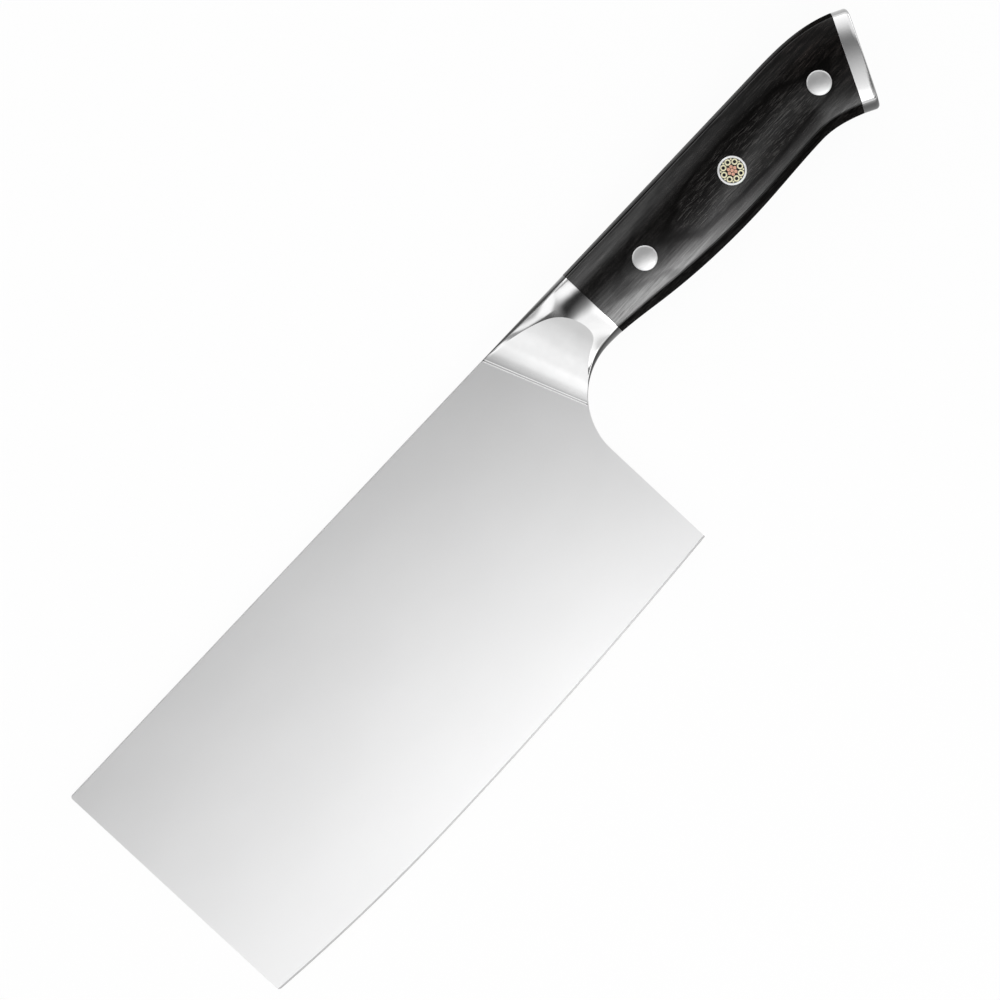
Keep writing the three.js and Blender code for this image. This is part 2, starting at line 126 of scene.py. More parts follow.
def skinOver(name, rings):  # a grid, one row per closed ring, pulled to its points and closed at both ends
    across, rows = len(rings[0]), len(rings) - 1
    bare()
    bpy.ops.mesh.primitive_grid_add(x_subdivisions=across, y_subdivisions=rows, size=1, location=(0, 0, 0))
    piece = bpy.context.object
    piece.name = piece.data.name = name
    points = [inFrame(*ring[i % across]) for ring in rings for i in range(across + 1)]
    piece.data.vertices.foreach_set("co", [c for p in points for c in p])
    piece.data.update()
    tidyMesh(piece)
    return piece


def boolean(piece, tool, operation):
    choose(piece)
    bpy.ops.object.modifier_add(type="BOOLEAN")
    modifier = piece.modifiers[-1]
    modifier.operation = operation
    modifier.solver = "EXACT"
    modifier.object = tool
    bpy.ops.object.modifier_apply(modifier=modifier.name)
    choose(tool)
    bpy.ops.object.delete()
    tidyMesh(piece)


def soften(piece, width):  # rounds the sharp edges
    choose(piece)
    bpy.ops.object.modifier_add(type="BEVEL")
    modifier = piece.modifiers[-1]
    modifier.limit_method = "ANGLE"
    modifier.angle_limit = math.radians(mesh["softAngle"])
    modifier.width = width * millimetre
    modifier.segments = mesh["softSegments"]
    modifier.use_clamp_overlap = True
    bpy.ops.object.modifier_apply(modifier=modifier.name)


def cylinder(name, x, y, low, high, radius, facets):
    bare()
    bpy.ops.mesh.primitive_cylinder_add(
        vertices=facets,
        radius=radius * millimetre,
        depth=(high - low) * millimetre,
        location=inFrame(x, y, (low + high) / 2),
    )
    piece = bpy.context.object
    piece.name = piece.data.name = name
    bpy.ops.object.transform_apply(location=True, rotation=True, scale=True)
    return piece


def endFaces(piece, side):  # selects the flat end of a cylinder, or both for side 0, and stays in edit mode
    bpy.ops.object.mode_set(mode="EDIT")
    bpy.ops.mesh.select_mode(type="FACE")
    bpy.ops.mesh.select_all(action="DESELECT")
    bpy.ops.object.mode_set(mode="OBJECT")
    many = max(len(face.vertices) for face in piece.data.polygons)
    for face in piece.data.polygons:
        face.select = len(face.vertices) == many and (side == 0 or face.normal.z * side > 0.5)
    bpy.ops.object.mode_set(mode="EDIT")


def insetFaces(width):
    bpy.ops.mesh.inset(thickness=width * millimetre)


def extrudeFaces(height):
    move = {"value": (0, 0, height * millimetre)}
    bpy.ops.mesh.extrude_region_move(TRANSFORM_OT_translate=move)


def finishPiece(piece, nodes, material, sharp):  # edges sharper than this angle stay sharp
    choose(piece)
    bpy.ops.object.shade_smooth_by_angle(angle=math.radians(sharp))
    piece.data.materials.clear()
    piece.data.materials.append(material)
    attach(piece, "root")
    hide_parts(*nodes)


# Shader work: sockets that can be added and multiplied


class Wire:
    def __init__(self, graph, socket):
        self.graph = graph
        self.socket = socket

    def calc(self, operation, first, second=0.0):
        return self.graph.add("ShaderNodeMath", {"operation": operation}, {0: first, 1: second})

    def __add__(self, other):
        return self.calc("ADD", self, other)

    def __radd__(self, other):
        return self.calc("ADD", other, self)

    def __sub__(self, other):
        return self.calc("SUBTRACT", self, other)

    def __rsub__(self, other):
        return self.calc("SUBTRACT", other, self)

    def __mul__(self, other):
        return self.calc("MULTIPLY", self, other)

    def __rmul__(self, other):
        return self.calc("MULTIPLY", other, self)

    def __truediv__(self, other):
        return self.calc("DIVIDE", self, other)

    def __rtruediv__(self, other):
        return self.calc("DIVIDE", other, self)

    def __pow__(self, other):
        return self.calc("POWER", self, other)

    def __rpow__(self, other):
        return self.calc("POWER", other, self)

    def __abs__(self):
        return self.calc("ABSOLUTE", self)

    def most(self, other):
        return self.calc("MAXIMUM", self, other)


class Graph:
    def __init__(self, name):
        self.material = bpy.data.materials.new(name)
        self.material.use_nodes = True
        self.tree = self.material.node_tree
        self.shader = self.tree.nodes["Principled BSDF"]

    def add(self, kind, settings=None, sockets=None, out=0):
        node = self.tree.nodes.new(kind)
        for key, value in (settings or {}).items():
            setattr(node, key, value)
        for key, value in (sockets or {}).items():
            self.feed(node.inputs[key], value)
        return Wire(self, node.outputs[out])

    def feed(self, socket, value):
        if isinstance(value, Wire):
            self.tree.links.new(value.socket, socket)
        else:
            socket.default_value = value

    def surface(self, **sockets):
        for key, value in sockets.items():
            self.feed(self.shader.inputs[key.replace("_", " ")], value)
        return self.material

    def insteadOf(self, shader):  # a stage material's own shader
        self.feed(self.tree.nodes["Material Output"].inputs["Surface"], shader)
        self.tree.nodes.remove(self.shader)
        return self.material

    def split(self, vector):
        node = self.add("ShaderNodeSeparateXYZ", {}, {0: vector}).socket.node
        return [Wire(self, socket) for socket in node.outputs]

    def place(self, scale=(1, 1, 1)):  # object coordinates in the knife's millimetres, stretched
        found = self.add("ShaderNodeTexCoord", out="Object")
        offset = tuple(-c / millimetre * s for c, s in zip((jointX, spineY, midZ), scale))
        size = tuple(s / millimetre for s in scale)
        return self.add("ShaderNodeMapping", {}, {"Vector": found, "Location": offset, "Scale": size})

    def normals(self):
        return self.split(self.add("ShaderNodeTexCoord", out="Normal"))

    def noise(self, scale, detail=2.0, roughness=0.55):
        sockets = {"Vector": self.place(scale), "Scale": 1.0, "Detail": detail, "Roughness": roughness}
        return self.add("ShaderNodeTexNoise", {"noise_dimensions": "3D"}, sockets)

    def span(self, value, low, high, first=0.0, last=1.0):  # a smooth ramp between two levels
        sockets = {"Value": value, 1: low, 2: high, 3: first, 4: last}
        return self.add("ShaderNodeMapRange", {"interpolation_type": "SMOOTHSTEP"}, sockets)

    def blend(self, share, first, last):
        sockets = {0: share, 6: (*first, 1) if isinstance(first, tuple) else first}
        sockets[7] = (*last, 1) if isinstance(last, tuple) else last
        return self.add("ShaderNodeMix", {"data_type": "RGBA"}, sockets, 2)

    def mottled(self, noise, look):
        return self.blend(self.span(noise, 0.3, 0.7), look["dark"], look["light"])

    def bump(self, height, strength, distance):
        sockets = {"Height": height, "Strength": strength, "Distance": distance * millimetre}
        return self.add("ShaderNodeBump", {}, sockets)


def grey(level):
    return (level, level, level)


# Finishes. A pattern's three numbers say how close it is along x, y and z. A ramp is given as (from, to), or
# with the levels that it has there, and a turn is such a ramp over the normal's share in one direction.

bladeSteel = {
    "lines": (9.0, 0.06, 0.06),
    "hazes": (0.02, 0.035, 0.035),
    "dark": (0.785, 0.785, 0.787),
    "light": (0.805, 0.805, 0.807),
    "edgeHoneShade": grey(0.36),  # painted shade: the edge bevel and the rounded spine are coloured darker
    "edgeHoneShadeTurn": (0.1, 0.2),
    "edgeHoneRougher": 0.05,
    "roughness": 0.3,
    "varies": 0.04,
    "relief": (0.04, 0.003),  # strength, and height in millimetres
}


def groundSteel():  # a fine satin grind from spine to edge, with painted shade on the edge bevel and the spine
    g = Graph("blade_steel")
    lines, hazes = g.noise(bladeSteel["lines"]), g.noise(bladeSteel["hazes"])
    # the edge bevel and the rounded spine: rougher, and painted darker as shade
    edgeHoneShade = g.span(abs(g.normals()[1]), *bladeSteel["edgeHoneShadeTurn"])
    colour = g.blend(edgeHoneShade, g.mottled(hazes, bladeSteel), bladeSteel["edgeHoneShade"])
    uneven = bladeSteel["edgeHoneRougher"] * edgeHoneShade + bladeSteel["varies"] * (lines + hazes - 1)
    return g.surface(
        Base_Color=colour,
        Metallic=1.0,
        Roughness=bladeSteel["roughness"] + uneven,
        Normal=g.bump(lines, *bladeSteel["relief"]),
    )


bolsterSteel = {
    "roughness": 0.1,
    "brushAndShadeAxis": 1,  # the faces that are brushed, and painted darker as shade, turn this way
    "brushAndShadeTurn": (0.5, 0.75),
    # painted shade: the brushed edges, the strip along the spine and the hollow of the scallop are coloured
    # nearly black
    "brushAndShade": grey(0.05),
    "brushAndShadeBelow": grey(0.05),
    "bellyLeanShade": grey(0.71),  # painted shade of sides that lean towards the belly
}
capSteel = {
    "roughness": 0.15,
    "brushAndShadeAxis": 2,
    "brushAndShadeTurn": (0.75, 0.4),
    # painted shade: the rounded rims are coloured darker, darker still where they turn towards the belly, as
    # are the sides that lean that way
    "brushAndShade": grey(0.4),
    "brushAndShadeBelow": grey(0.08),
    "bellyLeanShade": grey(0.3),
}
polish = {
    "lines": (0.2, 6.0, 6.0),
    "hazes": (0.25, 0.25, 0.25),
    "dark": (0.69, 0.69, 0.692),
    "light": (0.72, 0.72, 0.722),
    "stripWidth": (-40, -8, 0, 1.3),  # the strip along the bolster's spine, brushed and painted darker as shade, wider towards the joint
    "stripFade": (-0.35, 0.15),
    "shadeLine": (-34, -2, -0.2, -5.9),  # the painted shade over the scallop ends at this line
    "shadeFade": (-0.35, 0.25, 1, 0),
    "shadeStart": (-27, -20),
    "shadeEnd": (-12, -6, 1, 0),
    "shadeFoot": (-10.5, -8.5),
    "shadeTurn": (0.02, 0.1),
    "shadeShare": 0.9,
    "steepTurn": (0.05, 0.2, 0.45, 1),  # steep faces are brushed less, and get less painted shade
    "belowTurn": (-0.3, -0.7),
    "bellyLeanShadeTurn": (-0.11, -0.2),
    "brushRougher": 0.25,
    "hazesVary": 0.03,
    "linesVary": 0.02,
    "relief": (0.02, 0.002),
}


def polishedSteel(name, steel):  # polished sides, with brushed edges that are painted darker as shade
    g = Graph(name)
    knife, across, _ = g.split(g.place())
    turns = g.normals()
    hazes, lines = g.noise(polish["hazes"], 3.0), g.noise(polish["lines"])
    strip = across + g.span(knife, *polish["stripWidth"])
    shade = g.span(across - g.span(knife, *polish["shadeLine"]), *polish["shadeFade"])
    shade = shade * g.span(turns[1], *polish["shadeTurn"]) * g.span(across, *polish["shadeFoot"])
    shade = shade * g.span(knife, *polish["shadeStart"]) * g.span(knife, *polish["shadeEnd"])
    # where the brushed finish and the painted shade go: the edges, the spine strip and the scallop
    brushAndShade = g.span(abs(turns[steel["brushAndShadeAxis"]]), *steel["brushAndShadeTurn"])
    brushAndShade = brushAndShade.most(g.span(strip, *polish["stripFade"])).most(polish["shadeShare"] * shade)
    brushAndShade = brushAndShade * g.span(abs(turns[2]), *polish["steepTurn"])
    # painted shade colour, darker still on faces turned towards the belly
    dark = g.blend(g.span(turns[1], *polish["belowTurn"]), steel["brushAndShade"], steel["brushAndShadeBelow"])
    # polished colour, with painted shade on sides that lean towards the belly
    bright = g.blend(g.span(turns[1], *polish["bellyLeanShadeTurn"]), g.mottled(hazes, polish), steel["bellyLeanShade"])
    uneven = polish["hazesVary"] * (hazes - 0.5) + polish["linesVary"] * (lines - 0.5)
    return g.surface(
        Base_Color=g.blend(brushAndShade, bright, dark),
        Metallic=1.0,
        Roughness=steel["roughness"] + polish["brushRougher"] * brushAndShade + uneven,
        Normal=g.bump(lines, *polish["relief"]),
    )


satin = {"lines": (3.0, 0.2, 0.2), "hazes": (0.4, 0.4, 0.4), "varies": 0.03}
rivetSteel = {"light": grey(0.70), "dark": grey(0.66), "roughness": 0.36}
ringSteel = {"light": grey(0.95), "dark": grey(0.91), "roughness": 0.5}


def satinSteel(name, steel):
    g = Graph(name)
    lines, hazes = g.noise(satin["lines"]), g.noise(satin["hazes"])
    roughness = steel["roughness"] + satin["varies"] * (lines + hazes - 1)
    return g.surface(Base_Color=g.mottled(hazes, steel), Metallic=1.0, Roughness=roughness)


wood = {
    "streaks": (0.05, 2.0, 0.7),
    "dashes": (0.3, 2.5, 1.2),
    "pores": (0.13, 4.6, 2.4),
    "wander": (0.045, 0.13, 0.08),
    "grainRoughness": 0.6,
    "figureMiddle": (62, -14.8),  # dark rings drawn out along the handle
    "figureReach": (34, 8),
    "figureWanders": 0.9,
    "figureRings": [(1, 0.13, 1), (1.6, 0.12, 0.7)],  # size, fade and darkness
    "figureLine": 0.02,
    "inFigure": (0.7, 1.1, 1, 0.4),  # the dashes are livelier inside the rings
    "dashLevels": (0.48, 0.68),
    "streakLevels": (0.4, 0.75),
    "poreLevels": (0.6, 0.68),
    "dashShare": 0.65,
    "streakShare": 0.2,
    "figureDark": 0.8,
    "poreDark": 0.8,
    "base": (0.0022, 0.002, 0.0019),
    "grain": (0.05, 0.047, 0.045),
    "brownGrain": (0.055, 0.04, 0.032),  # at the spine's end of the butt
    "brownSlant": 0.8,
    "brownFrom": (70, 100),
    "brownLevels": (0.35, 0.65),
    "relief": (0.12, 0.02),
    "poreDepth": 0.6,
    "figureDepth": 0.3,
    "roughness": 0.5,
    "rougher": 0.1,
    "frontGloss": (0, 40, 1.25, 1),
    "buttGloss": (45, 95, 1, 0.45),
    "glossLevels": (0.3, 0.75),
    "gloss": 0.8,
    "grainGloss": 0.3,
    "poreDull": 0.4,
    "figureDull": 0.35,
    "sideTurn": (0.7, 0.95, 0.02, 0.8),
    "spineTurn": (0.95, 0.99),
    "spineGloss": 0.25,
}


def blackWood():
    g = Graph("black_wood")
    rough = wood["grainRoughness"]
    streaks = g.noise(wood["streaks"], 4.0, rough)
    dashes = g.noise(wood["dashes"], 3.0, rough)
    hole = g.span(g.noise(wood["pores"], 2.0, rough), *wood["poreLevels"])
    knife, across, _ = g.split(g.place())
    far = (knife - wood["figureMiddle"][0]) / wood["figureReach"][0]
    near = (across - wood["figureMiddle"][1]) / wood["figureReach"][1]
    ring = (far * far + near * near) ** 0.5 + wood["figureWanders"] * (g.noise(wood["wander"], 3.0) - 0.5)
    inner, outer = (
        g.span(abs(ring - size), wood["figureLine"], fade, dark, 0) for size, fade, dark in wood["figureRings"]
    )
    figure = inner.most(outer)
    lively = wood["dashShare"] * g.span(ring, *wood["inFigure"]) * g.span(dashes, *wood["dashLevels"])
    tone = lively + wood["streakShare"] * g.span(streaks, *wood["streakLevels"])
    tone = tone * (1 - wood["figureDark"] * figure) * (1 - wood["poreDark"] * hole)
    brown = g.span(knife + wood["brownSlant"] * across, *wood["brownFrom"])
    light = g.blend(brown * g.span(streaks, *wood["brownLevels"]), wood["grain"], wood["brownGrain"])
    relief = tone - wood["poreDepth"] * hole - wood["figureDepth"] * figure
    gloss = wood["gloss"] + wood["grainGloss"] * (g.span(streaks, *wood["glossLevels"]) + tone)
    gloss = gloss * g.span(knife, *wood["frontGloss"]) * g.span(knife, *wood["buttGloss"])
    gloss = gloss * (1 - wood["poreDull"] * hole) * (1 - wood["figureDull"] * figure)
    _, toSpine, toSide = g.normals()
    sides = g.span(abs(toSide), *wood["sideTurn"]) + wood["spineGloss"] * g.span(toSpine, *wood["spineTurn"])
    return g.surface(
        Base_Color=g.blend(tone, wood["base"], light),
        Roughness=wood["roughness"] + wood["rougher"] * tone,
        Normal=g.bump(relief, *wood["relief"]),
        Specular_IOR_Level=0.0,
        Coat_Weight=gloss * sides,
        Coat_IOR=1.75,
        Coat_Roughness=0.15,
    )


pin = {"mottle": (2.0, 2.0, 2.0), "lines": (12.0, 1.0, 1.0), "varies": 0.06, "relief": (0.02, 0.002)}
brass = {"light": (0.96, 0.92, 0.69), "dark": (0.84, 0.79, 0.55), "roughness": 0.45}
copper = {"light": (0.84, 0.50, 0.38), "dark": (0.72, 0.41, 0.30), "roughness": 0.5}
resin = {
    "mottle": (3.0, 3.0, 3.0),
    "dark": (0.004, 0.0037, 0.0033),
    "light": (0.012, 0.011, 0.0095),
    "roughness": 0.35,
    "varies": 0.1,
}


def pinMetal(name, metal):
    g = Graph(name)
    mottle, lines = g.noise(pin["mottle"], 3.0), g.noise(pin["lines"])
    return g.surface(
        Base_Color=g.mottled(mottle, metal),
        Metallic=1.0,
        Roughness=metal["roughness"] + pin["varies"] * (lines - 0.5),
        Normal=g.bump(lines, *pin["relief"]),
    )


def castResin():
    g = Graph("black_resin")
    mottle = g.noise(resin["mottle"])
    roughness = resin["roughness"] + resin["varies"] * (mottle - 0.5)
    colour = g.blend(mottle, resin["dark"], resin["light"])
    return g.surface(Base_Color=colour, Roughness=roughness, Specular_IOR_Level=0.3)


bladeFinish = groundSteel()
bolsterFinish = polishedSteel("bolster_steel", bolsterSteel)
capFinish = polishedSteel("cap_steel", capSteel)
rivetFinish = satinSteel("rivet_steel", rivetSteel)
ringFinish = satinSteel("ring_steel", ringSteel)
woodFinish = blackWood()
brassFinish = pinMetal("brass", brass)
copperFinish = pinMetal("copper", copper)
resinFinish = castResin()
print("finishes made")

# Outline and sections of bolster and handle

handle = {
    "spineLength": 108.5,
    "bellyLength": 94.2,
    "belly": [
        (-5.8, -23.55, 0),
        (15, -26.08, -0.16),
        (50.75, -28.8, 0),
        (80.3, -27.9, 0),
        (94.2, -31.5, -0.45),
    ],
    "spine": [(80.5, 0, 0), (108.5, -4.3, -0.45)],
    "half": [(0, 8.5, 0.03), (50.75, 9.6, 0), (80.3, 9.3, 0), (94.2, 9.8, 0.04)],
    "spineInset": [(0, 1, 0), (20, 1.2, 0)],
    "bellyInset": [(0, 1.7, 0), (20, 2.6, 0)],
    "roundingRun": 20,
    "crown": 1.5,
    "creaseRound": 0.5,
    "stripLeast": 0.2,
    "stripSteps": 10,
    "creaseSteps": 6,
    "sideSteps": 56,
    "ribs": 110,
    "smoothTo": 30,
}
bolster = {
    "neck": (-5.8, -44.75),
    "neckRadius": 21.2,
    "neckSteps": 40,
    "length": 33.4,
    "plungeAngle": 20.5,
    "step": 0.12,
    "ledges": [(-0.95, 0.25, 0.05), (-0.25, 0.25, 0.05)],  # start before the plunge line, width and height
    "ledgeRows": [-1.0 + 0.04 * k for k in range(25)],
    "ledgeRound": 0.05,
    "ledgeSunk": 0.004,
    "scallopRadius": 41.8,
    "scallopTaper": 14,
    "flankFullness": 1.3,
    "creaseRise": [(0, 0, 0), (0.5, 0.23, 1.03), (1, 1, 0)],
    "leastShare": 0.15,
    "creaseRound": 1.0,
    "creaseStart": 0.1,
    "samples": 200,
    "halvings": 30,
    "scallopRows": 60,
    "scallopCrowd": 1.5,  # the rows lie closer at the plunge line
    "flankRows": 50,
    "smoothTo": 14,
}
blade = {
    "edgeLength": 180.5,
    "frontLean": 0.8,
    "frontDepth": 82.5,
    "heelDepth": 82.05,
    "heelLean": -0.2,
    "sag": 3.65,
    "heelToDeepest": 112.2,
    "spineHalf": 1.15,
    "edgeHalf": 0.15,
    "bevelHeight": 0.55,
    "spineRound": 0.25,
    "spineSteps": 5,
    "frontRadius": 1.1,
    "frontSteps": 8,
    "softEdge": 0.08,
    "stations": 120,
    "cutMargin": 2,
    "cutHeight": 4,
    "smoothTo": 9,
}
grind = (blade["spineHalf"] - blade["edgeHalf"]) / blade["heelDepth"]
lean = math.radians(bolster["plungeAngle"])
plungeTop = Vector((-bolster["length"], 0))
plungeWay = Vector((math.sin(lean), -math.cos(lean)))
towardsHandle = Vector((math.cos(lean), math.sin(lean)))


def faceHalf(y):
    return blade["spineHalf"] + grind * y


def bellyLine(x):
    centre, radius = bolster["neck"], bolster["neckRadius"]
    if x >= centre[0]:
        return flow(handle["belly"], x)
    return centre[1] + math.sqrt(max(radius**2 - (x - centre[0]) ** 2, 0))


def spineLine(x):
    return 0 if x < handle["spine"][0][0] else flow(handle["spine"], x)


def onNeck(offset):  # where a line beside the plunge line starts, and where it meets the neck
    start = plungeTop + towardsHandle * offset
    start += plungeWay * (start.y / -plungeWay.y)
    away = start - Vector(bolster["neck"])
    along = away.dot(plungeWay)
    run = -along - math.sqrt(along**2 - away.length_squared + bolster["neckRadius"] ** 2)
    return start, start + plungeWay * run


plungeBottom = onNeck(0)[1]


def rib(top, bottom, half, crease, spineInset, bellyInset, turn):
    length = (bottom - top).length
    made = {"top": top, "way": (bottom - top) / length, "length": length, "half": half, "crease": crease}
    return {**made, "spineInset": spineInset, "bellyInset": bellyInset, "turn": turn}


def handleRib(share):
    topX, bottomX = share * handle["spineLength"], share * handle["bellyLength"]
    half = flow(handle["half"], bottomX)
    rounded = min(bottomX, handle["roundingRun"])
    return rib(
        Vector((topX, spineLine(topX))),
        Vector((bottomX, bellyLine(bottomX))),
        half,
        half - handle["crown"],
        flow(handle["spineInset"], rounded),
        flow(handle["bellyInset"], rounded),
        handle["creaseRound"],
    )


def bolsterRib(share):
    topX, bottomX = plungeTop.x * (1 - share), plungeBottom.x * (1 - share)
    root = blade["spineHalf"] + bolster["step"]
    joint = handle["half"][0][1]
    inset = max(share, bolster["leastShare"])
    start = bolster["creaseStart"]
    return rib(
        Vector((topX, 0)),
        Vector((bottomX, bellyLine(bottomX))),
        joint - (joint - root) * (1 - share) ** bolster["flankFullness"],
        root + (joint - handle["crown"] - root) * flow(bolster["creaseRise"], share),
        handle["spineInset"][0][1] * inset,
        handle["bellyInset"][0][1] * inset,
        bolster["creaseRound"] * (start + (1 - start) * share),
    )


def sideProfile(form, low):  # (along the rib, height) from the spine over the side to the belly
    crease, half, turn = form["crease"], form["half"], form["turn"]
    first, last = form["spineInset"], form["length"] - form["bellyInset"]
    middle = (first + last) / 2
    stripTop = max(crease - turn, low + handle["stripLeast"] * (crease - low))

    def side(along):
        off = (along - middle) / (last - middle)
        return (along, half - (half - crease) * off * off)

    def strip(z, inset, end):
        off = inset * (z / crease) ** 2
        return (end - off if end else off, z)

    def bend(a, b, c, t):
        return tuple(a[k] * (1 - t) ** 2 + 2 * b[k] * t * (1 - t) + c[k] * t * t for k in (0, 1))

    def halfSide(inset, end, corner, inner):
        points = [strip(low + (stripTop - low) * t, inset, end) for t in steps(handle["stripSteps"])]
        inside = [bend(points[-1], corner, inner, t) for t in steps(handle["creaseSteps"])[1:-1]]
        return points + inside

    inner = [side(first + turn + (last - first - 2 * turn) * t) for t in steps(handle["sideSteps"])]
    spineSide = halfSide(form["spineInset"], 0, side(first), inner[0])
    bellySide = halfSide(form["bellyInset"], form["length"], side(last), inner[-1])
    return spineSide + inner + bellySide[::-1]


def onRib(form, along, z):
    spot = form["top"] + form["way"] * along
    return (spot.x, spot.y, z)


def around(upper):  # closes an upper half with its mirror image
    return upper + [(x, y, -z) for x, y, z in upper[-2:0:-1]]


def sideHeight(x, y):  # the handle's side above a point of its outline
    long, short = handle["spineLength"], handle["bellyLength"]
    share = 2 * x / (long + short)
    for _ in range(6):  # closes in on the rib through the point
        form = handleRib(min(max(share, 0), 1))
        depth = (form["top"].y - y) / (-form["way"].y * form["length"])
        share = x / (long + (short - long) * depth)
    along = depth * form["length"]
    first, last = form["spineInset"], form["length"] - form["bellyInset"]
    off = (2 * along - first - last) / (last - first)
    return form["half"] - handle["crown"] * off * off


# Blade: ground flat on both sides, with a rounded spine and a narrow edge bevel

heelTop = Vector((bolster["neck"][0] - bolster["neckRadius"], bolster["neck"][1]))
heelCorner = Vector((heelTop.x - blade["heelLean"], -blade["heelDepth"]))
frontCorner = Vector((heelCorner.x - blade["edgeLength"], -blade["frontDepth"]))
frontTop = Vector((frontCorner.x - blade["frontLean"], 0))


def edgeLine(x):
    straight = heelCorner.y + (heelCorner.x - x) / blade["edgeLength"] * (frontCorner.y - heelCorner.y)
    deepest = heelCorner.x - blade["heelToDeepest"]
    end = frontCorner.x if x < deepest else heelCorner.x
    share = (x - deepest) / (end - deepest)
    return straight - blade["sag"] * (1 - share * share)


def bladeRing(x):
    edge = edgeLine(x)
    shoulder = edge + blade["bevelHeight"]
    turn = blade["spineRound"]
    upper = [(x, 0, 0)]
    for t in steps(blade["spineSteps"]):
        angle = math.pi / 2 * t
        y = -turn * (1 - math.cos(angle))
        upper.append((x, y, faceHalf(-turn) - turn * (1 - math.sin(angle))))
    upper += [(x, shoulder, faceHalf(shoulder)), (x, edge, 0)]
    return around(upper)


def bladeOutline():
    margin, turn = blade["cutMargin"], blade["frontRadius"]
    down = (frontCorner - frontTop).normalized()
    low, high = frontCorner - down * turn, frontTop + down * turn
    below = min(heelCorner.y, frontCorner.y) - blade["sag"] - margin

    def bend(a, b, c):
        return [a * (1 - t) ** 2 + b * (2 * t * (1 - t)) + c * t * t for t in steps(blade["frontSteps"])]

    nose = Vector((frontCorner.x + turn, edgeLine(frontCorner.x + turn)))
    points = [Vector((plungeTop.x, margin)), Vector((frontTop.x + turn, margin))]
    points += bend(Vector((frontTop.x + turn, 0)), frontTop, high) + bend(low, frontCorner, nose)
    points += [Vector((nose.x, below)), Vector((heelCorner.x, below)), heelCorner, heelTop]
    centre = Vector(bolster["neck"])
    end = math.atan2(plungeBottom.y - centre.y, plungeBottom.x - centre.x)
    for t in steps(bolster["neckSteps"])[1:]:
        angle = math.pi + (end - math.pi) * t
        points.append(centre + bolster["neckRadius"] * Vector((math.cos(angle), math.sin(angle))))
    run = (plungeBottom - plungeTop).length
    for t in (0.8, 0.2):  # a little into the bolster
        points.append(plungeTop + plungeWay * run * t + towardsHandle * margin)
    points.append(Vector((plungeTop.x, 0)))
    return points


def makeBlade():
    start = frontTop.x - blade["cutMargin"]
    run = plungeBottom.x + bolster["length"] / 2 - start
    piece = skinOver("blade_plate", [bladeRing(start + run * t) for t in steps(blade["stations"])])
    outline, height = bladeOutline(), blade["cutHeight"]
    tool = skinOver("outline", [[(p.x, p.y, z) for p in outline] for z in (-height, height)])
    boolean(piece, tool, "INTERSECT")
    soften(piece, blade["softEdge"])
    finishPiece(piece, ["blade"], bladeFinish, blade["smoothTo"])


makeBlade()
print("blade made")

# Bolster: full flanks, hollowed on both sides by a scallop that starts at the plunge line,
# behind two fine ledges


def ledgeHeight(offset):  # above the blade's face, in front of the plunge line
    return sum(high * smooth(start, start + wide, offset) for start, wide, high in bolster["ledges"])


def scallopHeight(x, y):
    spot = Vector((x, y)) - plungeTop
    away, down = spot.dot(towardsHandle), spot.dot(plungeWay)
    taper = math.radians(bolster["scallopTaper"])  # a tapered wheel, whose side lies along the plunge line
    rim = (bolster["scallopRadius"] / math.tan(taper) - down) * math.sin(2 * taper)
    wide = 4 * math.cos(2 * taper) * (math.cos(taper) * max(away, 0)) ** 2
    hollow = (rim - math.sqrt(max(rim**2 - wide, 0))) / (2 * math.cos(2 * taper))
    return faceHalf(down * plungeWay.y) + bolster["step"] + hollow


def bolsterPoint(column, share):
    form = bolsterRib(share)
    return onRib(form, *sideProfile(form, 0)[column])


def scallopEnds():  # how far along each line of the flank the scallop cuts
    count = bolster["samples"]
    samples = [[onRib(form, *p) for p in sideProfile(form, 0)] for form in map(bolsterRib, steps(count))]
    ends = []
    for column in range(len(samples[0])):
        line = [ring[column] for ring in samples]
        over = [k for k, (x, y, z) in enumerate(line) if z > scallopHeight(x, y) + 1e-6]
        if not over or over[-1] >= count - 1:
            ends.append(0.0)
            continue
        low, high = over[-1] / count, (over[-1] + 1) / count
        for _ in range(bolster["halvings"]):
            middle = (low + high) / 2
            x, y, z = bolsterPoint(column, middle)
            low, high = (middle, high) if z > scallopHeight(x, y) else (low, middle)
        ends.append(low)
    return ends


def ledgeRing(offset):
    least = bolster["leastShare"]
    insets = (handle[name][0][1] * least for name in ("spineInset", "bellyInset"))
    form = rib(*onNeck(offset), 1, 1, *insets, bolster["ledgeRound"])
    ring = []
    for along, z in sideProfile(form, 0):
        x, y, _ = onRib(form, along, 0)
        ring.append((x, y, z * (faceHalf(y) + ledgeHeight(offset) - bolster["ledgeSunk"])))
    return around(ring)


def makeBolster():
    ends = scallopEnds()
    rings = [ledgeRing(offset) for offset in bolster["ledgeRows"]]
    for t in steps(bolster["scallopRows"]):
        ring = []
        for column, end in enumerate(ends):
            x, y, z = bolsterPoint(column, end * t ** bolster["scallopCrowd"])
            ring.append((x, y, min(z, scallopHeight(x, y))))
        rings.append(around(ring))
    for t in steps(bolster["flankRows"])[1:]:
        rings.append(around([bolsterPoint(column, end + (1 - end) * t) for column, end in enumerate(ends)]))
    finishPiece(skinOver("bolster", rings), ["blade"], bolsterFinish, bolster["smoothTo"])


makeBolster()
print("bolster made")

# Tang: the full tang shows as a line of steel between the scales

tang = {"half": 1.15, "root": 0.9, "rootInset": 1.0, "round": 0.12, "smoothTo": 30}


def tangRing(form, inset):
    half, turn = tang["half"], tang["round"]
    near, far = inset, form["length"] - inset
    corners = [(near, half - turn), (near + turn, half), (far - turn, half), (far, half - turn)]
    corners += [(a, -z) for a, z in corners[::-1]]
    return [onRib(form, a, z) for a, z in corners]


